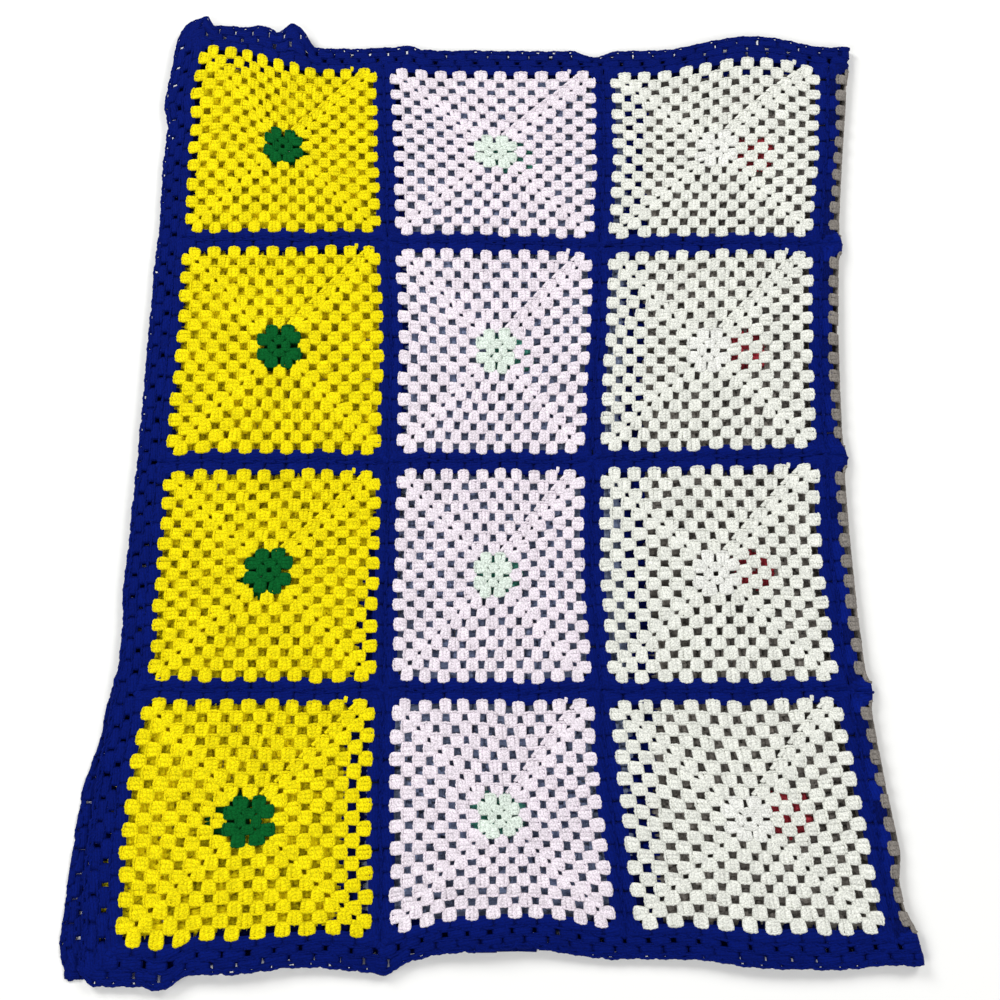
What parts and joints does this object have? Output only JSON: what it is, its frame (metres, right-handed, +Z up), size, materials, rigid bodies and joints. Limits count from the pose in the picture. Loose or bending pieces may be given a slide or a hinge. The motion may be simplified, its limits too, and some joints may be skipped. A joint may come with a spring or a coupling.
{
  "type": "granny square blanket",
  "caption": "Crocheted granny square blanket in rows of coloured squares with dark blue joins and edging, folded in half and laid flat.",
  "frame": {"origin": "middle of the underside of the folded blanket's box, on the surface that it lies on", "axes": "+X towards the fold, +Y towards the top edge of the squares, +Z up out of the surface"},
  "size_m": [1.0064, 1.2894, 0.0161],
  "materials": {
    "bright_yellow": "matt worsted yarn in bright yellow, crocheted",
    "pale_pink": "matt worsted yarn in pale pink, crocheted",
    "cream_white": "matt worsted yarn in cream white, crocheted",
    "warm_grey": "matt worsted yarn in warm grey, crocheted",
    "slate_blue": "matt worsted yarn in slate blue, crocheted",
    "royal_blue": "matt worsted yarn in royal blue, crocheted"
  },
  "bodies": {
    "root": {"square_r1_c1": "bright_yellow", "square_r1_c2": "pale_pink", "square_r1_c3": "cream_white", "square_r1_c4": "warm_grey", "square_r1_c5": "slate_blue", "square_r1_c6": "bright_yellow", "square_r2_c1": "bright_yellow", "square_r2_c2": "pale_pink", "square_r2_c3": "cream_white", "square_r2_c4": "warm_grey", "square_r2_c5": "slate_blue", "square_r2_c6": "bright_yellow", "square_r3_c1": "bright_yellow", "square_r3_c2": "pale_pink", "square_r3_c3": "cream_white", "square_r3_c4": "warm_grey", "square_r3_c5": "slate_blue", "square_r3_c6": "bright_yellow", "square_r4_c1": "bright_yellow", "square_r4_c2": "pale_pink", "square_r4_c3": "cream_white", "square_r4_c4": "warm_grey", "square_r4_c5": "slate_blue", "square_r4_c6": "bright_yellow", "edging": "royal_blue"}
  },
  "joints": []
}
